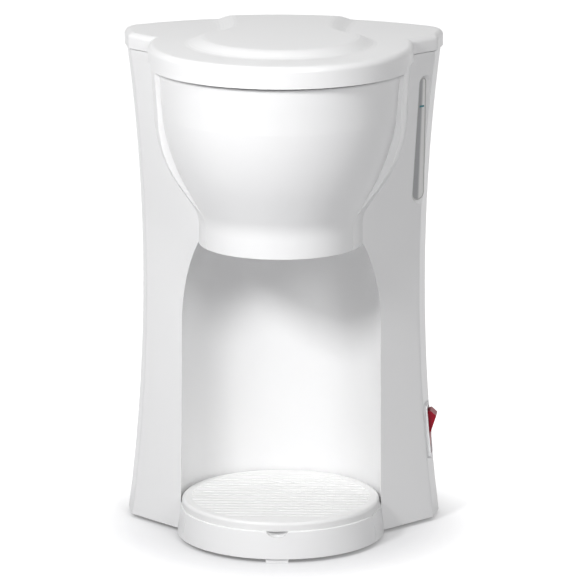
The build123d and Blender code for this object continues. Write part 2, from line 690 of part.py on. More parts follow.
with BuildPart() as lid:
    extrude(column_face(BODY_TOP, -LID_OVERHANG, LID_REAR_FOOT), amount=LID_TOP - LID_REAR_FOOT)
    posts([(0, 0)], LID_RADIUS, LID_FRONT_FOOT, LID_TOP)
    with BuildSketch(Plane((0, MUG_Y + FRONT_SPLIT_Y - FIT, LID_REAR_FOOT))):
        Rectangle(FAR, FAR, align=(Align.CENTER, Align.MIN))
    extrude(amount=-LID_REAR_FOOT, mode=Mode.SUBTRACT)
    fillet(lid.faces().sort_by(Axis.Z)[-1].outer_wire().edges(), LID_ROUND)
    add(plateau.part)
    extrude(
        column_face(BODY_TOP, WALL - LID_OVERHANG, LID_FRONT_FOOT),
        amount=LID_UNDER - LID_FRONT_FOOT,
        mode=Mode.SUBTRACT,
    )
    posts([(0, 0)], LID_RADIUS - WALL, LID_FRONT_FOOT, LID_UNDER, mode=Mode.SUBTRACT)
    for side in (HINGE_BARREL_HALF, -EAR_OUTER):
        with BuildSketch(HINGE_LINE.offset(side)):
            with Locations((-HINGE_BARREL_RADIUS - HINGE_EAR_GAP, LID_UNDER - HINGE_Z)):
                Rectangle(EAR_ROOT, EAR_ROOT, align=(Align.MIN, Align.MAX))
        extrude(amount=EAR_OUTER - HINGE_BARREL_HALF, mode=Mode.SUBTRACT)
    with BuildSketch(HINGE_LINE.offset(-HINGE_BARREL_HALF)):
        Circle(HINGE_BARREL_RADIUS)
        Rectangle(2 * HINGE_BARREL_RADIUS, LID_UNDER - HINGE_Z, align=(Align.CENTER, Align.MIN))
    extrude(amount=2 * HINGE_BARREL_HALF)
    with BuildSketch(HINGE_LINE.offset(-HINGE_BARREL_HALF)):
        Circle(HINGE_PIN_RADIUS + RUNNING)
    extrude(amount=2 * HINGE_BARREL_HALF, mode=Mode.SUBTRACT)
finish(lid, "lid")

with BuildPart() as lid_hinge_pin:
    with BuildSketch(HINGE_LINE.offset(-EAR_INNER - HINGE_EAR_WIDTH)):
        Circle(HINGE_PIN_RADIUS)
    extrude(amount=2 * (EAR_INNER + HINGE_EAR_WIDTH))
finish(lid_hinge_pin, "lid_hinge_pin")

# Spreader under the lid: a pierced pan with an arm that reaches over the riser
with BuildPart() as lid_spreader:
    arm_middle = (RISER[0] / 2, RISER[1] / 2)
    with BuildSketch(level(SPREADER_Z)):
        Circle(SPREADER_RADIUS)
        SlotCenterPoint(arm_middle, RISER, SPREADER_ARM)
    extrude(amount=LID_UNDER - SPREADER_Z)
    with BuildSketch(level(SPREADER_Z + SPREADER_SKIN)):
        Circle(SPREADER_RADIUS - SPREADER_SKIN)
        SlotCenterPoint(arm_middle, RISER, SPREADER_ARM - 2 * SPREADER_SKIN)
    extrude(amount=SPREADER_DROP, mode=Mode.SUBTRACT)
    with BuildSketch(level(SPREADER_Z)):
        with PolarLocations(SPREADER_RING, SPREADER_HOLES):
            Circle(SPREADER_HOLE_RADIUS)
        with Locations(RISER):
            Circle(TUBE_RADIUS)
    extrude(amount=SPREADER_SKIN, mode=Mode.SUBTRACT)
finish(lid_spreader, "lid_spreader")

# Top deck, with round openings for the basket and the riser and a filling opening on the left
with BuildPart() as fill_opening:
    extrude(column_face(WAIST_Z, WALL + TANK_GAP + 2 * TANK_SKIN, DECK_Z), amount=DECK_SKIN)
    posts([(0, 0)], BOWL_TOP_RADIUS + TANK_GAP + TANK_SKIN, DECK_Z, DECK_TOP, mode=Mode.SUBTRACT)
    split(bisect_by=Plane((FILL_EDGE_X, 0, 0), z_dir=(1, 0, 0)), keep=Keep.BOTTOM)

with BuildPart() as top_deck:
    extrude(column_face(DECK_Z, WALL + FIT), amount=DECK_SKIN)
    posts([(0, 0)], DECK_RING_RADIUS, DECK_Z, DECK_TOP)
    posts([(0, 0)], BASKET_RADIUS + FIT, DECK_Z, DECK_TOP, mode=Mode.SUBTRACT)
    posts([RISER], TUBE_RADIUS + FIT, DECK_Z, DECK_TOP, mode=Mode.SUBTRACT)
    add(fill_opening.part, mode=Mode.SUBTRACT)
finish(top_deck, "top_deck")


# Water tank: a crescent behind and beside the bowl, open at the top
def tank_body(skin, low, high):
    """Tank's outside, or its inside when drawn in by a skin."""
    gap = TANK_GAP + skin
    extrude(column_face(WAIST_Z, WALL + gap, low), amount=high - low)
    revolve(bowl_section(-gap, NECK_Z, BOWL_TOP), axis=MUG_AXIS, mode=Mode.SUBTRACT)
    revolve(recess_section(WALL + gap), axis=MUG_AXIS, mode=Mode.SUBTRACT)


with BuildPart() as tank_inside:
    tank_body(TANK_SKIN, TANK_FLOOR_Z + TANK_SKIN, DECK_Z)

with BuildPart() as reservoir:
    tank_body(0, TANK_FLOOR_Z, DECK_Z - FIT)
    add(tank_inside.part, mode=Mode.SUBTRACT)
    posts([INLET], TUBE_RADIUS, SPIGOT_FOOT_Z, TANK_FLOOR_Z)
    posts([INLET], TUBE_BORE, SPIGOT_FOOT_Z, TANK_FLOOR_Z + TANK_SKIN, mode=Mode.SUBTRACT)
    posts([RISER], GROMMET_HOLE, TANK_FLOOR_Z, TANK_FLOOR_Z + TANK_SKIN, mode=Mode.SUBTRACT)
finish(reservoir, "reservoir")

# Brew basket: a funnel hung by its flange
with BuildPart() as brew_basket:
    turned(
        (SPOUT_BORE, SPOUT_TIP_Z),
        (SPOUT_RADIUS, SPOUT_TIP_Z),
        (SPOUT_RADIUS, BASKET_FLOOR_Z - BASKET_SKIN),
        (BASKET_FOOT_RADIUS, BASKET_FLOOR_Z - BASKET_SKIN),
        (BASKET_RADIUS, DECK_TOP),
        (BASKET_RADIUS + FLANGE_OVER, DECK_TOP),
        (BASKET_RADIUS + FLANGE_OVER, FLANGE_TOP),
        (BASKET_RADIUS - BASKET_SKIN, FLANGE_TOP),
        (BASKET_FOOT_RADIUS - BASKET_SKIN, BASKET_FLOOR_Z),
        (SPOUT_BORE, BASKET_FLOOR_Z),
    )
finish(brew_basket, "brew_basket")

# Permanent filter: a ribbed frame with a cone of mesh inside it
with BuildPart() as filter_frame:
    turned(
        (FILTER_MOUTH_RADIUS, FLANGE_TOP),
        (FILTER_FLANGE_RADIUS, FLANGE_TOP),
        (FILTER_FLANGE_RADIUS, FILTER_TOP),
        (FILTER_MOUTH_RADIUS, FILTER_TOP),
    )
    posts([(0, 0)], FILTER_FOOT_RADIUS + 2 * FILTER_SKIN, FILTER_FOOT_Z, FILTER_FOOT_Z + FILTER_SKIN)
    for i in range(FILTER_RIBS):
        turn = Rot(0, 0, 360 * i / FILTER_RIBS)
        rib_plane = Plane(Pos(0, MUG_Y, 0) * turn * Pos(0, FILTER_RIB_WIDTH / 2, 0) * Rot(90, 0, 0))
        with BuildSketch(rib_plane):
            with BuildLine():
                Polyline(
                    (FILTER_FOOT_RADIUS, FILTER_FOOT_Z + FILTER_SKIN / 2),
                    (FILTER_FOOT_RADIUS + FILTER_SKIN, FILTER_FOOT_Z + FILTER_SKIN / 2),
                    (FILTER_MOUTH_RADIUS + FILTER_SKIN, FLANGE_TOP + FILTER_SKIN / 2),
                    (FILTER_MOUTH_RADIUS + FIT, FLANGE_TOP + FILTER_SKIN / 2),
                    close=True,
                )
            make_face()
        extrude(amount=FILTER_RIB_WIDTH)
finish(filter_frame, "filter_frame")

with BuildPart() as filter_mesh:
    turned(
        (FILTER_FOOT_RADIUS - FIT, FILTER_FOOT_Z + FILTER_SKIN),
        (FILTER_MOUTH_RADIUS - FIT, FILTER_TOP),
        (FILTER_MOUTH_RADIUS - FIT - MESH_SKIN, FILTER_TOP),
        (FILTER_FOOT_RADIUS - FIT - MESH_SKIN, FILTER_FOOT_Z + FILTER_SKIN),
    )
finish(filter_mesh, "filter_mesh")

# Boiler group behind the mug recess
tube_legs = both_sides((TUBE_LEG_X, BOILER_Y))
rod_legs = both_sides((ROD_LEG_X, BOILER_Y))
with BuildPart() as boiler_tube:
    u_bend(TUBE_LEG_X, TUBE_TOP_Z, TUBE_RADIUS)
    u_bend(TUBE_LEG_X, TUBE_TOP_Z, TUBE_BORE, mode=Mode.SUBTRACT)
finish(boiler_tube, "boiler_tube")

with BuildPart() as heating_element:
    u_bend(ROD_LEG_X, ROD_TOP_Z, ROD_RADIUS)
finish(heating_element, "heating_element")

with BuildPart() as element_pins:
    posts(rod_legs, PIN_RADIUS, ROD_TOP_Z, ROD_TOP_Z + PIN_LENGTH)
finish(element_pins, "element_pins")

with BuildPart() as heater_bracket:
    extrude(column_face(BRACKET_Z, WALL + FIT), amount=BRACKET_SKIN)
    posts([(0, 0)], RECESS_SKIN_RADIUS + FIT, BRACKET_Z, BRACKET_TOP, mode=Mode.SUBTRACT)
    with BuildSketch(level(BRACKET_Z)):
        with Locations((0, BRACKET_FRONT_Y)):
            Rectangle(2 * BRACKET_HALF, FAR, align=(Align.CENTER, Align.MIN))
    extrude(amount=BRACKET_SKIN, mode=Mode.INTERSECT)
    posts(tube_legs, TUBE_RADIUS + SEAT, BRACKET_Z, BRACKET_TOP, mode=Mode.SUBTRACT)
    posts(rod_legs, ROD_RADIUS + ROD_HOLE_GAP, BRACKET_Z, BRACKET_TOP, mode=Mode.SUBTRACT)
    posts(both_sides(BOSS), SCREW_RADIUS + SEAT, BRACKET_Z, BRACKET_TOP, mode=Mode.SUBTRACT)
finish(heater_bracket, "heater_bracket")

with BuildPart() as heater_screws:
    screws(both_sides(BOSS), BRACKET_TOP, -1, SCREW_LENGTH)
finish(heater_screws, "heater_screws")

THERMOSTAT_TOP = BRACKET_TOP + THERMOSTAT_HEIGHT
with BuildPart() as thermostat:
    posts([(0, BOILER_Y)], THERMOSTAT_RADIUS, BRACKET_TOP, THERMOSTAT_TOP)
    with BuildSketch(level(THERMOSTAT_TOP)):
        with Locations(*both_sides((BLADE_X, BOILER_Y))):
            Rectangle(BLADE[0], BLADE[1])
    extrude(amount=BLADE[2])
finish(thermostat, "thermostat")

fuse_x, fuse_y, fuse_z = FUSE_FOOT
with BuildPart() as thermal_fuse:
    posts([(fuse_x, fuse_y)], FUSE_RADIUS, fuse_z, fuse_z + FUSE_LENGTH)
finish(thermal_fuse, "thermal_fuse")

# Hoses, riser and check valve
HOSE_BORE = TUBE_RADIUS + SEAT
HOSE_FOOT_Z = TUBE_TOP_Z - HOSE_GRIP
with BuildPart() as inlet_hose:
    pipe(INLET, HOSE_RADIUS, HOSE_BORE, HOSE_FOOT_Z, TANK_FLOOR_Z - FIT)
finish(inlet_hose, "inlet_hose")

riser_route = [
    (TUBE_LEG_X, BOILER_Y, HOSE_FOOT_Z),
    (TUBE_LEG_X, BOILER_Y, RISER_BEND_LOW_Z),
    (*RISER, RISER_BEND_HIGH_Z),
    (*RISER, TANK_FLOOR_Z - GROMMET_FLANGE - FIT),
]
with BuildPart() as riser_hose:
    bent_rod(riser_route, RISER_BEND_RADIUS, HOSE_RADIUS)
    bent_rod(riser_route, RISER_BEND_RADIUS, HOSE_BORE, mode=Mode.SUBTRACT)
finish(riser_hose, "riser_hose")

with BuildPart() as hose_clamps:
    for place, z in (
        (INLET, CLAMP_LOW_Z),
        (INLET, CLAMP_HIGH_Z),
        ((TUBE_LEG_X, BOILER_Y), CLAMP_LOW_Z),
        (RISER, CLAMP_HIGH_Z),
    ):
        pipe(place, HOSE_RADIUS + CLAMP_SKIN, HOSE_RADIUS + SEAT, z, z + CLAMP_WIDTH)
finish(hose_clamps, "hose_clamps")

with BuildPart() as riser_tube:
    pipe(RISER, TUBE_RADIUS, TUBE_BORE, RISER_FOOT_Z, RISER_TOP_Z)
finish(riser_tube, "riser_tube")

with BuildPart() as riser_grommet:
    floor_top = TANK_FLOOR_Z + TANK_SKIN
    pipe(RISER, GROMMET_RADIUS, HOSE_BORE, TANK_FLOOR_Z - GROMMET_FLANGE, TANK_FLOOR_Z)
    pipe(RISER, TUBE_RADIUS + GROMMET_NECK, HOSE_BORE, TANK_FLOOR_Z, floor_top)
    pipe(RISER, GROMMET_RADIUS, HOSE_BORE, floor_top, floor_top + GROMMET_FLANGE)
finish(riser_grommet, "riser_grommet")

with BuildPart() as check_valve_body:
    posts([INLET], TUBE_RADIUS, VALVE_FOOT_Z, VALVE_TOP_Z)
    posts([INLET], VALVE_HOLE, VALVE_FOOT_Z, VALVE_TOP_Z, mode=Mode.SUBTRACT)
    posts([INLET], VALVE_CHAMBER, VALVE_FOOT_Z + VALVE_LIP, VALVE_TOP_Z - VALVE_LIP, mode=Mode.SUBTRACT)
    with BuildSketch(level(VALVE_FOOT_Z)):
        with Locations(INLET):
            Rectangle(2 * VALVE_CHAMBER, VALVE_SLOT)
            Rectangle(VALVE_SLOT, 2 * VALVE_CHAMBER)
    extrude(amount=VALVE_LIP, mode=Mode.SUBTRACT)
finish(check_valve_body, "check_valve_body")

BALL_SEAT = sqrt((BALL_RADIUS + BALL_GAP) ** 2 - VALVE_HOLE**2)
BALL_Z = VALVE_FOOT_Z + VALVE_LIP + BALL_SEAT
BALL_TRAVEL = VALVE_TOP_Z - VALVE_LIP - BALL_SEAT - BALL_Z
with BuildPart() as check_valve_ball:
    with Locations((INLET[0], MUG_Y + INLET[1], BALL_Z)):
        Sphere(BALL_RADIUS)
finish(check_valve_ball, "check_valve_ball")

# Rocker switch
case_width = BEZEL_WIDTH - 2 * SWITCH_CASE_IN
case_height = BEZEL_HEIGHT - 2 * SWITCH_CASE_IN
with BuildPart() as switch_body:
    with BuildSketch(SWITCH.offset(-BEZEL_SUNK)):
        RectangleRounded(BEZEL_WIDTH, BEZEL_HEIGHT, BEZEL_ROUND)
    extrude(amount=BEZEL_PROUD + BEZEL_SUNK)
    with BuildSketch(SWITCH.offset(-BEZEL_SUNK)):
        Rectangle(case_width, case_height)
    extrude(amount=BEZEL_SUNK - SWITCH_DEPTH)
    with BuildSketch(SWITCH.offset(BEZEL_PROUD)):
        Rectangle(ROCKER_WIDTH + 2 * FIT, 2 * (ROCKER_HALF + ROCKER_CLEAR))
    extrude(amount=-BEZEL_PROUD - PIVOT_DEPTH - ROCKER_ROOM, mode=Mode.SUBTRACT)
    with BuildSketch(ROCKER.offset(-case_width / 2)):
        Circle(PIVOT_RADIUS)
    extrude(amount=case_width, mode=Mode.SUBTRACT)
finish(switch_body, "switch_body")

with BuildPart() as switch_pivot:
    with BuildSketch(ROCKER.offset(-case_width / 2)):
        Circle(PIVOT_RADIUS)
    extrude(amount=case_width)
finish(switch_pivot, "switch_pivot")

rest_lean = radians(ROCKER_TILT)
rocker_outline = [
    (ROCKER_HALF, ROCKER_SHOULDER),
    ROCKER_CREST,
    (0, ROCKER_VALLEY),
    (-ROCKER_CREST[0], ROCKER_CREST[1]),
    (-ROCKER_HALF, ROCKER_SHOULDER),
    (-ROCKER_UNDER[0], ROCKER_UNDER[1]),
    ROCKER_UNDER,
]
with BuildPart() as switch_rocker:
    with BuildSketch(ROCKER.offset(-ROCKER_WIDTH / 2)):
        with BuildLine():
            Polyline(
                *[
                    (up * cos(rest_lean) - out * sin(rest_lean), up * sin(rest_lean) + out * cos(rest_lean))
                    for up, out in rocker_outline
                ],
                close=True,
            )
        make_face()
    extrude(amount=ROCKER_WIDTH)
    fillet(switch_rocker.edges().filter_by(Axis(PIVOT.origin, SWITCH.x_dir)), ROCKER_ROUND)
    with BuildSketch(ROCKER.offset(-ROCKER_WIDTH / 2)):
        Circle(PIVOT_RADIUS + RUNNING)
    extrude(amount=ROCKER_WIDTH, mode=Mode.SUBTRACT)
finish(switch_rocker, "switch_rocker")

with BuildPart() as switch_terminals:
    with BuildSketch(SWITCH.offset(-SWITCH_DEPTH)):
        with GridLocations(0, TERMINAL_PITCH, 1, 3):
            Rectangle(TERMINAL[0], TERMINAL[1])
    extrude(amount=-TERMINAL[2])
finish(switch_terminals, "switch_terminals")

# Water window and its seal
WINDOW_BACK = WINDOW_SUNK + WINDOW_SKIN
with BuildPart() as water_window:
    extrude(window_face(WINDOW_BACK, GASKET_SKIN), amount=WINDOW_SKIN)
finish(water_window, "water_window")

with BuildPart() as window_gasket:
    extrude(window_face(WINDOW_BACK, SEAT), amount=WINDOW_SKIN)
    extrude(window_face(WINDOW_BACK, GASKET_SKIN - SEAT), amount=WINDOW_SKIN, mode=Mode.SUBTRACT)
finish(window_gasket, "window_gasket")

# Base plate, feet and screws
base_places = both_sides(BOSS) + both_sides(PLATFORM_BOSS) + both_sides(REAR_BOSS)
with BuildPart() as base_plate:
    extrude(column_face(PLATE_TOP, WALL + FIT, BODY_FOOT), amount=PLATE_SKIN)
    posts([(0, 0)], PLATFORM_RADIUS - WALL - FIT, BODY_FOOT, PLATE_TOP)
    posts(base_places, SCREW_RADIUS + SEAT, BODY_FOOT, PLATE_TOP, mode=Mode.SUBTRACT)
    posts(both_sides(FOOT_REAR), FOOT_STEM_RADIUS + SEAT, BODY_FOOT, PLATE_TOP, mode=Mode.SUBTRACT)
    posts([(0, FOOT_FRONT_Y)], FOOT_STEM_RADIUS + SEAT, BODY_FOOT, PLATE_TOP, mode=Mode.SUBTRACT)
finish(base_plate, "base_plate")

with BuildPart() as base_screws:
    screws(base_places, BODY_FOOT, 1, SCREW_LENGTH)
finish(base_screws, "base_screws")

with BuildPart() as front_foot:
    with BuildSketch(level(0)):
        with Locations((0, FOOT_FRONT_Y)):
            Rectangle(FOOT_FRONT_WIDTH, FOOT_FRONT_DEPTH)
    extrude(amount=BODY_FOOT)
    posts([(0, FOOT_FRONT_Y)], FOOT_STEM_RADIUS, BODY_FOOT, PLATE_TOP + FOOT_STEM_UP)
finish(front_foot, "front_foot")

with BuildPart() as rear_feet:
    posts(both_sides(FOOT_REAR), FOOT_REAR_RADIUS, 0, BODY_FOOT)
    posts(both_sides(FOOT_REAR), FOOT_STEM_RADIUS, BODY_FOOT, PLATE_TOP + FOOT_STEM_UP)
finish(rear_feet, "rear_feet")

# Cord gland in the back
with BuildPart() as cord_gland:
    with BuildSketch(GLAND_LINE):
        Circle(GLAND_FLANGE_RADIUS)
    extrude(amount=GLAND_FLANGE)
    with BuildSketch(GLAND_LINE):
        Circle(GLAND_RADIUS)
    extrude(amount=-WALL - FIT)
    with BuildSketch(GLAND_LINE.offset(-WALL - FIT)):
        Circle(GLAND_BARB_RADIUS)
    extrude(amount=-GLAND_TAIL)
    with BuildSketch(GLAND_LINE.offset(GLAND_FLANGE)):
        Circle(GLAND_BORE)
    extrude(amount=-GLAND_FLANGE - WALL - FIT - GLAND_TAIL, mode=Mode.SUBTRACT)
finish(cord_gland, "cord_gland")

# Terminal block and the fixed leads
block_top = PLATE_TOP + BLOCK_SIZE[2]
with BuildPart() as terminal_block:
    with BuildSketch(level(PLATE_TOP)):
        with Locations(BLOCK_PLACE):
            Rectangle(BLOCK_SIZE[0], BLOCK_SIZE[1])
    extrude(amount=BLOCK_SIZE[2])
    with BuildSketch(level(block_top)):
        with Locations(BLOCK_PLACE):
            with GridLocations(BLOCK_PITCH, 0, 3, 1):
                Circle(BLOCK_WELL_RADIUS)
    extrude(amount=-BLOCK_WELL_DEPTH, mode=Mode.SUBTRACT)
finish(terminal_block, "terminal_block")


def behind_switch(up, depth):
    """Place behind one of the switch's blades, about the mug axis."""
    place = SWITCH.from_local_coords(Vector(0, up, -SWITCH_DEPTH - TERMINAL[2] - depth))
    return (place.X, place.Y - MUG_Y, place.Z)


block_back = BLOCK_PLACE[1] + BLOCK_SIZE[1] / 2 + LEAD_RADIUS
blade_top = THERMOSTAT_TOP + BLADE[2] + FIT
pin_top = ROD_TOP_Z + PIN_LENGTH + FIT
fuse_top = fuse_z + FUSE_LENGTH
with BuildPart() as wiring_leads:
    block_to_switch = [
        (BLOCK_PLACE[0] - BLOCK_PITCH, block_back, LEAD_LOW_Z),
        (BLOCK_PLACE[0] + 4.0, 46.5, LEAD_LOW_Z),
        (-36.0, 49.0, LEAD_LOW_Z),
        (-18.0, 56.0, LEAD_LOW_Z),
        (18.0, 56.0, LEAD_LOW_Z),
        (36.0, 49.0, LEAD_LOW_Z),
        (46.0, 44.0, LEAD_HIGH_Z),
        behind_switch(-TERMINAL_PITCH, 8.0),
        behind_switch(-TERMINAL_PITCH, FIT),
    ]
    switch_to_thermostat = [
        behind_switch(TERMINAL_PITCH, FIT),
        behind_switch(TERMINAL_PITCH, 6.0),
        (44.0, 41.0, LEAD_OVER_Z - 2),
        (14.0, 51.5, LEAD_OVER_Z - 2),
        (BLADE_X, BOILER_Y, LEAD_OVER_Z + 3),
        (BLADE_X, BOILER_Y, blade_top),
    ]
    thermostat_to_element = [
        (-BLADE_X, BOILER_Y, blade_top),
        (-BLADE_X, BOILER_Y, LEAD_OVER_Z + 3),
        (-11.0, 50.5, LEAD_OVER_Z),
        (-20.0, 48.6, LEAD_OVER_Z),
        (-ROD_LEG_X, 50.0, LEAD_OVER_Z),
        (-ROD_LEG_X, BOILER_Y, LEAD_OVER_Z + 2),
        (-ROD_LEG_X, BOILER_Y, pin_top),
    ]
    element_to_fuse = [
        (ROD_LEG_X, BOILER_Y, pin_top),
        (ROD_LEG_X, BOILER_Y, LEAD_OVER_Z + 2),
        (fuse_x, fuse_y, LEAD_OVER_Z + 6),
        (fuse_x, fuse_y, fuse_top + FIT),
    ]
    fuse_to_block = [
        (fuse_x, fuse_y, fuse_z - FIT),
        (fuse_x, fuse_y, LEAD_HIGH_Z + 8),
        (36.0, 49.0, LEAD_HIGH_Z),
        (18.0, 56.0, LEAD_HIGH_Z),
        (-18.0, 56.0, LEAD_HIGH_Z),
        (-36.0, 49.0, LEAD_HIGH_Z),
        (BLOCK_PLACE[0] + 6.0, 44.0, LEAD_HIGH_Z),
        (BLOCK_PLACE[0] + BLOCK_PITCH, block_back, LEAD_LOW_Z),
    ]
    for route in (
        block_to_switch,
        switch_to_thermostat,
        thermostat_to_element,
        element_to_fuse,
        fuse_to_block,
    ):
        bent_rod(route, LEAD_BEND, LEAD_RADIUS)
finish(wiring_leads, "wiring_leads")

print("lid hinge", 0, MUG_Y + HINGE_Y, HINGE_Z)
print("rocker pivot", tuple(PIVOT.origin), "axis", tuple(-SWITCH.x_dir))
print("ball travel", BALL_TRAVEL)
print("inlet", INLET[0], MUG_Y + INLET[1], BALL_Z)
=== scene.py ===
# %% [markdown]
# # A one-cup drip coffee maker, dressed for the photograph
#
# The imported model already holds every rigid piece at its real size. This lesson gives those pieces their
# finishes, adds the small mark that is printed on the water window, and sets the studio up as the
# photographer did: a white floor, a key lamp at the front left, weaker lamps at the front right and above, a
# narrow beam into the mug bay, and a long lens.

# %% Load the frame
import math

import bmesh
import bpy
from mathutils import Matrix, Vector


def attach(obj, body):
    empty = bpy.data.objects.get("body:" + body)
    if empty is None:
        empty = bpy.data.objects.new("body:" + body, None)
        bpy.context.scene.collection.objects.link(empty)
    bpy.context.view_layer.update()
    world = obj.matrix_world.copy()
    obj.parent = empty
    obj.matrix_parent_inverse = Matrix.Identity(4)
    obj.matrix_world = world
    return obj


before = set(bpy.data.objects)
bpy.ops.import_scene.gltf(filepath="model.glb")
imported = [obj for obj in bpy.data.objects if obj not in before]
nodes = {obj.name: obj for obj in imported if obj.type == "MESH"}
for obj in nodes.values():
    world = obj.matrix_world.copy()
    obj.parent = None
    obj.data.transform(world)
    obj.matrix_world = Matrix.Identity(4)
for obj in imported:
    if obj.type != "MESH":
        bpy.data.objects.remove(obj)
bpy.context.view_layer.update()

# %% [markdown]
# ## The camera
#
# The photographer stood well back with a long lens, a little above the lid and a hair to the right. The
# angles, distance and focal length below come from matching known edges of the object with the picture, so
# the camera is placed by them and not by eye. The small shift slides the picture in the frame without
# turning the camera.

# %% Camera
MUG_Y = -0.0043
CAMERA_AIM = Vector((0, MUG_Y, 0.12))
CAMERA_TURN = math.radians(2.04)
CAMERA_RISE = math.radians(13.31)
CAMERA_DISTANCE = 2.2
SENSOR = 36.0
LENS_PIXELS = 4705.64
PICTURE = 580
PICTURE_MIDDLE = (280.71, 287.29)

backwards = Vector(
    (
        math.sin(CAMERA_TURN) * math.cos(CAMERA_RISE),
        -math.cos(CAMERA_TURN) * math.cos(CAMERA_RISE),
        math.sin(CAMERA_RISE),
    )
)
camera_data = bpy.data.cameras.new("studio_camera")
camera_data.sensor_width = SENSOR
camera_data.lens = LENS_PIXELS / PICTURE * SENSOR
camera_data.shift_x = (PICTURE / 2 - PICTURE_MIDDLE[0]) / PICTURE
camera_data.shift_y = -(PICTURE / 2 - PICTURE_MIDDLE[1]) / PICTURE
camera = bpy.data.objects.new("studio_camera", camera_data)
camera.location = CAMERA_AIM + backwards * CAMERA_DISTANCE
camera.rotation_euler = backwards.to_track_quat("Z", "Y").to_euler()
bpy.context.scene.collection.objects.link(camera)
bpy.context.scene.camera = camera
print("lens", round(camera_data.lens, 1), "mm")

# %% [markdown]
# ## The studio
#
# White plastic shows its shape only by shading. The key lamp at the front left makes the left cheek bright
# and throws the bowl's shadow on to the right of the recess. A lamp further off at the front right, less than
# half as bright on the object, keeps the right cheek grey and not dark. A weak narrow beam from the front
# reaches into the mug bay, and a wide weak lamp hangs above the lid. Area lamps are used because their size
# decides how soft a shadow's edge is, and the narrow beam is a spot lamp because only that has a cone.

# %% Lamps
def hang_lamp(data, place, aim):
    """Put a lamp at a place and turn it to an aim."""
    lamp = bpy.data.objects.new(data.name, data)
    lamp.location = place
    lamp.rotation_euler = (Vector(place) - Vector(aim)).to_track_quat("Z", "Y").to_euler()
    bpy.context.scene.collection.objects.link(lamp)


def soft_lamp(name, place, aim, size, power):
    """A square area lamp."""
    data = bpy.data.lights.new(name, "AREA")
    data.shape = "SQUARE"
    data.size = size
    data.energy = power
    hang_lamp(data, place, aim)


def narrow_lamp(name, place, aim, beam, size, power):
    """A lamp with a narrow beam whose edge fades out."""
    data = bpy.data.lights.new(name, "SPOT")
    data.spot_size = beam
    data.spot_blend = 1.0
    data.shadow_soft_size = size
    data.energy = power
    hang_lamp(data, place, aim)


MIDDLE = (0, 0, 0.12)
MUG_BAY = (0.012, 0, 0.04)
BAY_BEAM = math.radians(8.5)
soft_lamp("key_lamp", place=(-0.301, -0.464, 0.479), aim=MIDDLE, size=0.12, power=2.7)
narrow_lamp("bay_lamp", place=(-0.14, -1.05, 0.683), aim=MUG_BAY, beam=BAY_BEAM, size=0.08, power=4.5)
soft_lamp("right_lamp", place=(0.63, -1.22, 0.85), aim=MIDDLE, size=0.4, power=6.6)
soft_lamp("top_lamp", place=(0, -0.1, 1.4), aim=MIDDLE, size=0.8, power=1.4)
bpy.context.scene.view_settings.view_transform = "Standard"
print("lamps", [lamp.name for lamp in bpy.data.lights])

# %% [markdown]
# ## Node helpers
#
# The room, the floor and the finishes are all built from shader nodes. Three short helpers keep that code
# readable: one sets or links a node's inputs, one adds a node with its inputs, and one mixes two colours.

# %% Node helpers
def wire(tree, node, **wires):
    """Sets a node's inputs, or links them where a socket is given; i0 is the first input, and so on."""
    for key, value in wires.items():
        socket = node.inputs[int(key[1:])] if key[1:].isdigit() else node.inputs[key.replace("_", " ")]
        if isinstance(value, bpy.types.NodeSocket):
            tree.links.new(value, socket)
        else:
            socket.default_value = value


def step(tree, kind, operation=None, **wires):
    """A node with its inputs set or linked."""
    made = tree.nodes.new(kind)
    if operation:
        made.operation = operation
    wire(tree, made, **wires)
    return made


def mix_colours(tree, factor, first, second):
    """Socket with the first colour where the factor is 0 and the second where it is 1."""
    made = tree.nodes.new("ShaderNodeMix")
    made.data_type = "RGBA"
    wire(tree, made, Factor=factor, A=first, B=second)
    return made.outputs["Result"]


print("helpers ready")

# %% [markdown]
# ## A white room
#
# The room is dim grey where it lights the object and plain white where the camera, a reflection or a clear
# piece looks at it. Light Path tells the rays apart. The same switch is needed for the world and for the
# floor, so one helper builds it.

# %% World
def by_rays(tree, lighting, showing):
    """Socket with one shader for rays that light the scene and another for rays that show a surface."""
    rays = step(tree, "ShaderNodeLightPath")
    shown = rays.outputs["Is Camera Ray"]
    for kind in ("Is Glossy Ray", "Is Transmission Ray"):
        shown = step(tree, "ShaderNodeMath", "MAXIMUM", i0=shown, i1=rays.outputs[kind]).outputs[0]
    chosen = step(tree, "ShaderNodeMixShader", i0=shown, i1=lighting.outputs[0], i2=showing.outputs[0])
    return chosen.outputs[0]


WHITE = (1, 1, 1, 1)
ROOM_LIGHT = 0.22
ROOM_SHOWN = 1.0
world = bpy.data.worlds.new("studio_world")
bpy.context.scene.world = world
world.use_nodes = True
tree = world.node_tree
tree.nodes.clear()
dim_room = step(tree, "ShaderNodeBackground", Color=WHITE, Strength=ROOM_LIGHT)
white_room = step(tree, "ShaderNodeBackground", Color=WHITE, Strength=ROOM_SHOWN)
step(tree, "ShaderNodeOutputWorld", Surface=by_rays(tree, dim_room, white_room))
print("world", world.name)
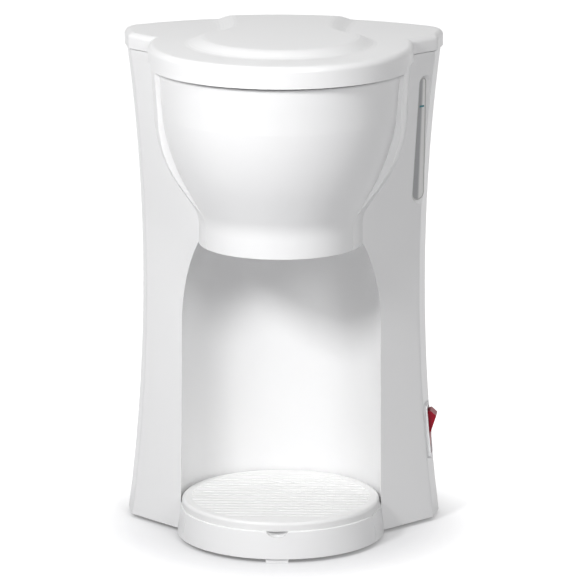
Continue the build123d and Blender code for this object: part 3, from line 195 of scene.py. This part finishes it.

# %% [markdown]
# The floor is a large square of matt paper. It is only half white for the light that it throws back at the
# object, because most of a studio's floor is out of the lamps' reach. Where the camera sees it, a glow is
# added, which lifts it to white. The glow is weaker near the object's middle and full a little further out,
# so the lamps' soft shadow round the base stays and the far paper has no edge; the weaker glow also greys the
# paper round the base, which is partly painted shade. In nooks beside the base an occlusion mask dims the
# glow further, and that darkening is painted shade.

# %% Floor
FLOOR_HALF = 6.0
PAPER = (0.5, 0.5, 0.51, 1)
GLOW_NEAR = 0.05
GLOW_FAR = 0.13
GLOW_LEAST = 0.45
GLOW_MOST = 1.0
NOOK_REACH = 0.06
NOOK_SHADE = 0.6
floor_mesh = bmesh.new()
bmesh.ops.create_grid(floor_mesh, x_segments=1, y_segments=1, size=FLOOR_HALF)
floor_data = bpy.data.meshes.new("studio_floor")
floor_mesh.to_mesh(floor_data)
floor_mesh.free()
floor = bpy.data.objects.new("studio_floor", floor_data)
bpy.context.scene.collection.objects.link(floor)

paper = bpy.data.materials.new("studio_paper")
paper.use_nodes = True
tree = paper.node_tree
tree.nodes.clear()
matt = step(tree, "ShaderNodeBsdfDiffuse", Color=PAPER)
where = step(tree, "ShaderNodeTexCoord").outputs["Object"]
away = step(tree, "ShaderNodeVectorMath", "LENGTH", i0=where)
glow = step(
    tree,
    "ShaderNodeMapRange",
    Value=away.outputs["Value"],
    From_Min=GLOW_NEAR,
    From_Max=GLOW_FAR,
    To_Min=GLOW_LEAST,
    To_Max=GLOW_MOST,
)
glow.interpolation_type = "SMOOTHSTEP"
# An occlusion mask dims the glow in the nooks beside the base: this paints shade on to the floor.
painted_nook_shade = step(tree, "ShaderNodeAmbientOcclusion", Distance=NOOK_REACH).outputs["AO"]
open_share = step(tree, "ShaderNodeMath", "MULTIPLY_ADD", i0=painted_nook_shade, i1=NOOK_SHADE, i2=1 - NOOK_SHADE)
shaded = step(tree, "ShaderNodeMath", "MULTIPLY", i0=glow.outputs["Result"], i1=open_share.outputs[0])
lift = step(tree, "ShaderNodeEmission", Strength=shaded.outputs[0])
lifted = step(tree, "ShaderNodeAddShader", i0=matt.outputs[0], i1=lift.outputs[0])
step(tree, "ShaderNodeOutputMaterial", Surface=by_rays(tree, matt, lifted))
floor_data.materials.append(paper)
print("floor", 2 * FLOOR_HALF, "m square")

# %% [markdown]
# ## Shared effects
#
# Several finishes share an effect, so each effect is a node group with named sockets that is built once and
# placed with its own values. Groups give out colours, roughness and heights only, and the Principled shader
# stays in each material.

# %% Start of a group
def start_group(name, inputs, outputs):
    """Node group with named sockets; inputs map a name to its start value, outputs to a socket type."""
    kinds = {float: "NodeSocketFloat", tuple: "NodeSocketColor", Vector: "NodeSocketVector"}
    group = bpy.data.node_groups.new(name, "ShaderNodeTree")
    for socket, value in inputs.items():
        made = group.interface.new_socket(socket, in_out="INPUT", socket_type=kinds[type(value)])
        made.default_value = value
    for socket, kind in outputs.items():
        group.interface.new_socket(socket, in_out="OUTPUT", socket_type=kinds[kind])
    return group, group.nodes.new("NodeGroupInput"), group.nodes.new("NodeGroupOutput")


def vary(tree, noise, spread, value):
    """Socket with a value that a noise moves up and down by half of a spread."""
    middle = step(tree, "ShaderNodeMath", "SUBTRACT", i0=noise, i1=0.5)
    moved = step(tree, "ShaderNodeMath", "MULTIPLY_ADD", i0=middle.outputs[0], i1=spread, i2=value)
    return moved.outputs[0]


print("group helpers ready")

# %% [markdown]
# ### Moulded skin
#
# Injection-moulded plastic is never quite even: the tool's polish leaves a faint orange peel, the gloss
# drifts over the length of a wall, and the colour drifts with it by a hair. Two noises on Object coordinates
# do all three.

# %% Moulded skin group
def moulded_group():
    """Colour that drifts slightly, uneven roughness and a fine peel height."""
    group, given, out = start_group(
        "moulded_skin",
        {
            "Color": (0.8, 0.8, 0.8, 1.0),
            "Drift Color": (0.78, 0.78, 0.77, 1.0),
            "Roughness": 0.35,
            "Unevenness": 0.06,
            "Peel Scale": 900.0,
        },
        {"Color": tuple, "Roughness": float, "Height": float},
    )
    where = step(group, "ShaderNodeTexCoord").outputs["Object"]
    peel = step(group, "ShaderNodeTexNoise", Vector=where, Scale=given.outputs["Peel Scale"], Detail=2.0)
    cloud = step(group, "ShaderNodeTexNoise", Vector=where, Scale=22.0, Detail=3.0)
    drift = cloud.outputs["Fac"]
    colour = mix_colours(group, drift, given.outputs["Color"], given.outputs["Drift Color"])
    rough = vary(group, drift, given.outputs["Unevenness"], given.outputs["Roughness"])
    wire(group, out, Color=colour, Roughness=rough, Height=peel.outputs["Fac"])
    return group


MOULDED = moulded_group()
print(MOULDED.name)

# %% [markdown]
# ### Drawn metal
#
# Tube, rod, wire and rolled sheet carry fine lines along the way they were drawn or rolled. A noise whose
# coordinates are stretched one way gives such lines: it is fine across them and slow along them.

# %% Drawn metal group
def drawn_group():
    """Colour, roughness and height with fine lines that run along one direction."""
    group, given, out = start_group(
        "drawn_metal",
        {
            "Color": (0.6, 0.6, 0.6, 1.0),
            "Line Color": (0.5, 0.5, 0.5, 1.0),
            "Roughness": 0.3,
            "Spread": 0.15,
            "Stretch": Vector((900.0, 900.0, 40.0)),
        },
        {"Color": tuple, "Roughness": float, "Height": float},
    )
    where = step(group, "ShaderNodeTexCoord").outputs["Object"]
    pulled = step(group, "ShaderNodeVectorMath", "MULTIPLY", i0=where, i1=given.outputs["Stretch"])
    noise = step(group, "ShaderNodeTexNoise", Vector=pulled.outputs[0], Scale=1.0, Detail=3.0)
    lines = noise.outputs["Fac"]
    colour = mix_colours(group, lines, given.outputs["Color"], given.outputs["Line Color"])
    rough = vary(group, lines, given.outputs["Spread"], given.outputs["Roughness"])
    wire(group, out, Color=colour, Roughness=rough, Height=lines)
    return group


DRAWN = drawn_group()
print(DRAWN.name)

# %% [markdown]
# ### Stain
#
# Coffee darkens the basket towards its spout, and hard water leaves a pale film low in the tank. Both are a
# second colour that comes in below a height, broken up by a noise so that its edge isn't a ruled line.

# %% Stain group
def stain_group():
    """Colour with a second colour coming in below a height, in patches."""
    group, given, out = start_group(
        "stain",
        {
            "Color": (0.8, 0.8, 0.8, 1.0),
            "Stain Color": (0.4, 0.25, 0.12, 1.0),
            "Clean Above": 0.2,
            "Full Below": 0.15,
            "Amount": 0.4,
        },
        {"Color": tuple},
    )
    where = step(group, "ShaderNodeTexCoord").outputs["Object"]
    height = step(group, "ShaderNodeSeparateXYZ", Vector=where).outputs["Z"]
    reach = step(
        group,
        "ShaderNodeMapRange",
        Value=height,
        From_Min=given.outputs["Clean Above"],
        From_Max=given.outputs["Full Below"],
    )
    patch = step(group, "ShaderNodeTexNoise", Vector=where, Scale=140.0, Detail=4.0)
    mask = step(group, "ShaderNodeMath", "MULTIPLY", i0=reach.outputs["Result"], i1=patch.outputs["Fac"])
    amount = step(group, "ShaderNodeMath", "MULTIPLY", i0=mask.outputs[0], i1=given.outputs["Amount"])
    colour = mix_colours(group, amount.outputs[0], given.outputs["Color"], given.outputs["Stain Color"])
    wire(group, out, Color=colour)
    return group


STAIN = stain_group()
print(STAIN.name)

# %% [markdown]
# ## Finishes
#
# Two makers cover nearly all pieces. A moulding takes the moulded skin, and a stain on top where it has one.
# A metal takes the drawn lines. Values that are the same all over a surface, such as a clear piece's
# transmission, are set on the shader itself.

# %% Makers of materials
BUMP_STRENGTH = 0.5
FINE_PEEL = 0.00002
COARSE_PEEL = 0.00004


def start_material(name, **shader_values):
    """Material with a Principled shader whose plain values are set by name."""
    material = bpy.data.materials.new(name)
    material.use_nodes = True
    tree = material.node_tree
    shader = tree.nodes["Principled BSDF"]
    wire(tree, shader, **shader_values)
    return material, tree, shader


def place_group(tree, group, **values):
    """A group in a material, with its own values or links."""
    placed = tree.nodes.new("ShaderNodeGroup")
    placed.node_tree = group
    wire(tree, placed, **values)
    return placed


def bump_from(tree, shader, height, depth):
    """Turns a height into the shader's normal."""
    bump = step(tree, "ShaderNodeBump", Strength=BUMP_STRENGTH, Distance=depth, Height=height)
    wire(tree, shader, Normal=bump.outputs["Normal"])


def moulding(
    name, colour, drift, roughness, peel_scale=900.0, peel=FINE_PEEL, unevenness=0.06, stain=None, **plain
):
    """Moulded plastic or rubber, with a stain group's values if it has a stain."""
    material, tree, shader = start_material(name, **plain)
    skin = place_group(
        tree,
        MOULDED,
        Color=(*colour, 1),
        Drift_Color=(*drift, 1),
        Roughness=roughness,
        Unevenness=unevenness,
        Peel_Scale=peel_scale,
    )
    shown = skin.outputs["Color"]
    if stain:
        shown = place_group(tree, STAIN, Color=shown, **stain).outputs["Color"]
    wire(tree, shader, Base_Color=shown, Roughness=skin.outputs["Roughness"])
    bump_from(tree, shader, skin.outputs["Height"], peel)
    return material


def metal(name, colour, line_colour, roughness, stretch, spread=0.15, depth=0.000015):
    """Drawn or rolled metal with lines along the direction that is stretched least."""
    material, tree, shader = start_material(name, Metallic=1.0)
    lines = place_group(
        tree,
        DRAWN,
        Color=(*colour, 1),
        Line_Color=(*line_colour, 1),
        Roughness=roughness,
        Spread=spread,
        Stretch=stretch,
    )
    wire(tree, shader, Base_Color=lines.outputs["Color"], Roughness=lines.outputs["Roughness"])
    bump_from(tree, shader, lines.outputs["Height"], depth)
    return material


def dress(material, *names):
    """Gives CAD nodes a finish in every slot they have."""
    for name in names:
        for place in nodes[name].material_slots:
            place.material = material
    print(material.name, "on", ", ".join(names))


# %% [markdown]
# ### White shells
#
# The shells are glossy white polypropylene. The white stays a little under full, so that the lamps can still
# shade it. The switch's frame comes from another maker's tool and is a touch cooler.

# %% White shells
white_shell = moulding("white_shell", (0.88, 0.88, 0.88), (0.865, 0.865, 0.87), roughness=0.3)
dress(white_shell, "main_housing", "front_cover", "rear_cover", "base_platform", "lid", "front_foot")
white_plate = moulding(
    "white_plate", (0.88, 0.88, 0.88), (0.86, 0.86, 0.855), roughness=0.4, peel_scale=1400.0
)
dress(white_plate, "drip_tray")
white_switch = moulding(
    "white_switch", (0.84, 0.845, 0.85), (0.82, 0.825, 0.83), roughness=0.35, peel_scale=1200.0
)
dress(white_switch, "switch_body")

# %% [markdown]
# ### Rocker
#
# The rocker is a deep crimson moulding. The white room would wash such a dark colour out, so its reflection
# is set lower on the shader than a plain plastic's.

# %% Rocker
crimson = (0.3, 0.004, 0.02)
crimson_drift = (0.25, 0.003, 0.015)
red_rocker = moulding(
    "red_rocker", crimson, crimson_drift, roughness=0.35, peel_scale=1600.0, Specular_IOR_Level=0.2
)
dress(red_rocker, "switch_rocker")

# %% [markdown]
# ### Inner mouldings
#
# Pieces inside are matt, because nobody polishes a tool for them. The basket and the filter's frame have met
# coffee, and the tank is milky, so that the water level can be seen through it.

# %% Inner mouldings
inner_values = dict(colour=(0.8, 0.8, 0.78), drift=(0.76, 0.76, 0.735), roughness=0.5, peel_scale=500.0)
white_inner = moulding("white_inner", peel=COARSE_PEEL, **inner_values)
dress(white_inner, "top_deck", "lid_spreader", "base_plate", "riser_tube")
coffee = dict(Stain_Color=(0.3, 0.16, 0.07, 1), Clean_Above=0.215, Full_Below=0.14, Amount=0.75)
coffee_side = moulding("coffee_side", peel=COARSE_PEEL, stain=coffee, **inner_values)
dress(coffee_side, "brew_basket", "filter_frame")
scale_film = dict(Stain_Color=(0.93, 0.93, 0.9, 1), Clean_Above=0.205, Full_Below=0.118, Amount=0.6)
milky_tank = moulding(
    "milky_tank",
    (0.76, 0.8, 0.82),
    (0.72, 0.765, 0.79),
    roughness=0.38,
    peel_scale=300.0,
    stain=scale_film,
    Transmission_Weight=0.35,
    IOR=1.49,
)
dress(milky_tank, "reservoir")

# %% [markdown]
# ### Water window
#
# Through the clear strip one looks at an angle into the slot behind it. The slot's near wall is in shade and
# the milky tank beside it is lit, and both are painted into the strip's colour: the wall's shade as painted
# shade, a dark strip on the left, and the lit tank as a light colour beside it. The dark strip runs up the
# window, so the colour changes in the strip's own cross direction. The strip's plane leans with the cheek and
# is turned about the upright by a few degrees, as its solid is. The frame holds boxes and no planes, so the
# place, slope, lean and turn below repeat those of the solid. The same plane carries the printed mark further
# down.

# %% Water window
WINDOW_AT = Vector((0.065692, 0.019644, 0.186))
CHEEK_SLOPE = 1.0
CHEEK_LEAN = 0.0764
WINDOW_TURN = math.radians(1.5)
WINDOW_SUNK = 0.0016
BAND_EDGE = 0.0001
BAND_SOFT = 0.0007
# Painted shade of the slot's near wall, and the painted colour of the lit tank beside it.
SLOT_WALL_SHADE = (0.42, 0.425, 0.44, 1)
LIT_TANK_PAINT = (0.9, 0.9, 0.89, 1)
cheek_run = Vector((1, CHEEK_SLOPE, 0)).normalized()
cheek_out = Vector((cheek_run.y, -cheek_run.x, -CHEEK_LEAN * cheek_run.y)).normalized()
turned = Matrix.Rotation(-CHEEK_LEAN * cheek_run.x - WINDOW_TURN, 3, "Z")
window_across = turned @ cheek_run
window_out = turned @ cheek_out
window_plane = Matrix((window_across, window_out.cross(window_across), window_out)).transposed().to_4x4()
window_plane.translation = WINDOW_AT

clear_window, tree, shader = start_material("clear_window", Transmission_Weight=0.15, IOR=1.49)
where = step(tree, "ShaderNodeTexCoord").outputs["Object"]
from_middle = step(tree, "ShaderNodeVectorMath", "SUBTRACT", i0=where, i1=WINDOW_AT)
across = step(tree, "ShaderNodeVectorMath", "DOT_PRODUCT", i0=from_middle.outputs[0], i1=window_across)
# This mask puts the painted wall shade on the left of the strip and the painted lit tank on its right.
wall_shade_mask = step(
    tree,
    "ShaderNodeMapRange",
    Value=across.outputs["Value"],
    From_Min=BAND_EDGE - BAND_SOFT,
    From_Max=BAND_EDGE + BAND_SOFT,
)
wall_shade_mask.interpolation_type = "SMOOTHSTEP"
colour = mix_colours(tree, wall_shade_mask.outputs["Result"], SLOT_WALL_SHADE, LIT_TANK_PAINT)
skin = place_group(tree, MOULDED, Roughness=0.16, Unevenness=0.1, Peel_Scale=260.0)
wire(tree, shader, Base_Color=colour, Roughness=skin.outputs["Roughness"])
bump_from(tree, shader, skin.outputs["Height"], FINE_PEEL)
dress(clear_window, "water_window")

# %% [markdown]
# ### Rubber, silicone and hard insulators
#
# Rubber and silicone are matt with a coarse, dry grain, dark phenolic shows the speckle of its filler, and
# the fuse and the valve's ball are ceramic. All of them are mouldings with other numbers.

# %% Rubber and insulators
grey_rubber = moulding(
    "grey_rubber", (0.5, 0.5, 0.49), (0.44, 0.44, 0.435), roughness=0.7, peel_scale=2200.0, peel=0.00006
)
dress(grey_rubber, "window_gasket", "rear_feet", "riser_grommet", "cord_gland")
silicone = moulding(
    "silicone", (0.78, 0.78, 0.73), (0.72, 0.72, 0.66), roughness=0.55, peel_scale=700.0, peel=0.00005
)
dress(silicone, "inlet_hose", "riser_hose")
lead_sleeve = moulding(
    "lead_sleeve", (0.74, 0.73, 0.7), (0.66, 0.65, 0.61), roughness=0.6, peel_scale=1800.0, peel=0.00008
)
dress(lead_sleeve, "wiring_leads")
phenolic = moulding(
    "phenolic", (0.05, 0.05, 0.05), (0.075, 0.07, 0.065), roughness=0.45, peel_scale=2600.0, unevenness=0.15
)
dress(phenolic, "thermostat", "terminal_block", "check_valve_body")
ceramic = moulding(
    "ceramic", (0.8, 0.79, 0.75), (0.76, 0.745, 0.7), roughness=0.3, peel_scale=400.0, Coat_Weight=0.3
)
dress(ceramic, "thermal_fuse", "check_valve_ball")

# %% [markdown]
# ### Metals
#
# The stretch says which way the lines run: a small number along an axis leaves the lines long that way. The
# pins and the pivot lie across or along the object, the boiler's legs stand upright, and the bracket was
# rolled from side to side.

# %% Metals
zinc = (0.62, 0.63, 0.65)
zinc_line = (0.5, 0.51, 0.54)
pin_steel = metal("pin_steel", zinc, zinc_line, roughness=0.28, stretch=Vector((60.0, 1800.0, 1800.0)))
dress(pin_steel, "lid_hinge_pin")
sheet_steel = metal("sheet_steel", zinc, zinc_line, roughness=0.36, stretch=Vector((80.0, 1400.0, 1400.0)))
dress(sheet_steel, "heater_bracket", "hose_clamps")
plated = (0.66, 0.65, 0.6)
plated_line = (0.54, 0.53, 0.5)
screw_steel = metal("screw_steel", plated, plated_line, roughness=0.3, stretch=Vector((900.0, 900.0, 900.0)))
dress(screw_steel, "base_screws", "heater_screws")
rod_steel = metal("rod_steel", zinc, zinc_line, roughness=0.25, stretch=Vector((1500.0, 60.0, 1500.0)))
dress(rod_steel, "switch_pivot")
aluminium = (0.75, 0.75, 0.76)
aluminium_line = (0.64, 0.64, 0.66)
drawn_tube = metal(
    "drawn_tube", aluminium, aluminium_line, roughness=0.3, stretch=Vector((1600.0, 1600.0, 70.0))
)
dress(drawn_tube, "boiler_tube", "element_pins")
fired = (0.3, 0.27, 0.25)
fired_line = (0.2, 0.17, 0.16)
fired_rod = metal(
    "fired_rod", fired, fired_line, roughness=0.5, stretch=Vector((700.0, 700.0, 160.0)), spread=0.3
)
dress(fired_rod, "heating_element")
brass = (0.72, 0.53, 0.24)
brass_line = (0.6, 0.43, 0.18)
blade_brass = metal("blade_brass", brass, brass_line, roughness=0.32, stretch=Vector((90.0, 1500.0, 1500.0)))
dress(blade_brass, "switch_terminals")

# %% [markdown]
# ### Filter mesh
#
# The permanent filter's cone is woven wire. Its threads run round the cone and up it, so the pattern is drawn
# on the angle about the mug axis and on the height. Where two threads are both far away there is a hole, and
# the shade seen through it is painted as a dark dot at this size.

# %% Filter mesh
MESH_THREADS = 84.0
MESH_ROW = 0.0012
MESH_DEPTH = 0.0003
HOLE_BELOW = 0.45
WIRE_ABOVE = 0.75
# Painted shade: the dark seen through each hole of the weave.
HOLE_SHADE_PAINT = (0.08, 0.07, 0.06, 1)
WIRE_COLOUR = (0.66, 0.65, 0.62, 1)
woven, tree, shader = start_material("woven_steel", Metallic=1.0)
where = step(tree, "ShaderNodeTexCoord").outputs["Object"]
centred = step(tree, "ShaderNodeVectorMath", "SUBTRACT", i0=where, i1=(0, MUG_Y, 0))
parts = step(tree, "ShaderNodeSeparateXYZ", Vector=centred.outputs[0])
angle = step(tree, "ShaderNodeMath", "ARCTAN2", i0=parts.outputs["Y"], i1=parts.outputs["X"])
threads = []
for across, rate in ((angle.outputs[0], MESH_THREADS), (parts.outputs["Z"], math.pi / MESH_ROW)):
    phase = step(tree, "ShaderNodeMath", "MULTIPLY", i0=across, i1=rate)
    swing = step(tree, "ShaderNodeMath", "SINE", i0=phase.outputs[0])
    threads.append(step(tree, "ShaderNodeMath", "ABSOLUTE", i0=swing.outputs[0]).outputs[0])
crown = step(tree, "ShaderNodeMath", "MAXIMUM", i0=threads[0], i1=threads[1])
solid = step(
    tree, "ShaderNodeMapRange", Value=crown.outputs[0], From_Min=HOLE_BELOW, From_Max=WIRE_ABOVE
)
worn = step(tree, "ShaderNodeTexNoise", Vector=where, Scale=90.0, Detail=3.0)
dull = step(tree, "ShaderNodeMapRange", Value=worn.outputs["Fac"], To_Min=0.25, To_Max=0.5)
colour = mix_colours(tree, solid.outputs["Result"], HOLE_SHADE_PAINT, WIRE_COLOUR)
wire(tree, shader, Base_Color=colour, Roughness=dull.outputs["Result"])
bump_from(tree, shader, crown.outputs[0], MESH_DEPTH)
dress(woven, "filter_mesh")

# %% [markdown]
# ## The mark on the window
#
# A short line of teal ink on the window's face shows how far the tank may be filled. It is far too thin to be
# a solid of its own, so it is made here: a small block, bevelled at its edges and laid in the window's plane,
# which leans with the cheek.

# %% Level mark
MARK_UP = 0.0158
MARK_SIZE = Vector((0.0026, 0.0009, 0.00016))
MARK_BEVEL = 0.4 * MARK_SIZE.z
mark_place = window_plane @ Matrix.Translation((0, MARK_UP, MARK_SIZE.z / 2 - WINDOW_SUNK))
mark_mesh = bmesh.new()
bmesh.ops.create_cube(mark_mesh, size=1.0)
bmesh.ops.scale(mark_mesh, vec=MARK_SIZE, verts=mark_mesh.verts)
bmesh.ops.bevel(
    mark_mesh,
    geom=mark_mesh.edges[:],
    offset=MARK_BEVEL,
    segments=2,
    profile=0.5,
    affect="EDGES",
    material=-1,
)
bmesh.ops.transform(mark_mesh, matrix=mark_place, verts=mark_mesh.verts)
mark_data = bpy.data.meshes.new("level_mark")
mark_mesh.to_mesh(mark_data)
mark_mesh.free()
level_mark = bpy.data.objects.new("level_mark", mark_data)
bpy.context.scene.collection.objects.link(level_mark)
teal_ink = moulding("teal_ink", (0.03, 0.16, 0.19), (0.045, 0.2, 0.23), roughness=0.5, peel_scale=2400.0)
mark_data.materials.append(teal_ink)
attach(level_mark, "body")
print("level mark", len(mark_data.polygons), "faces")
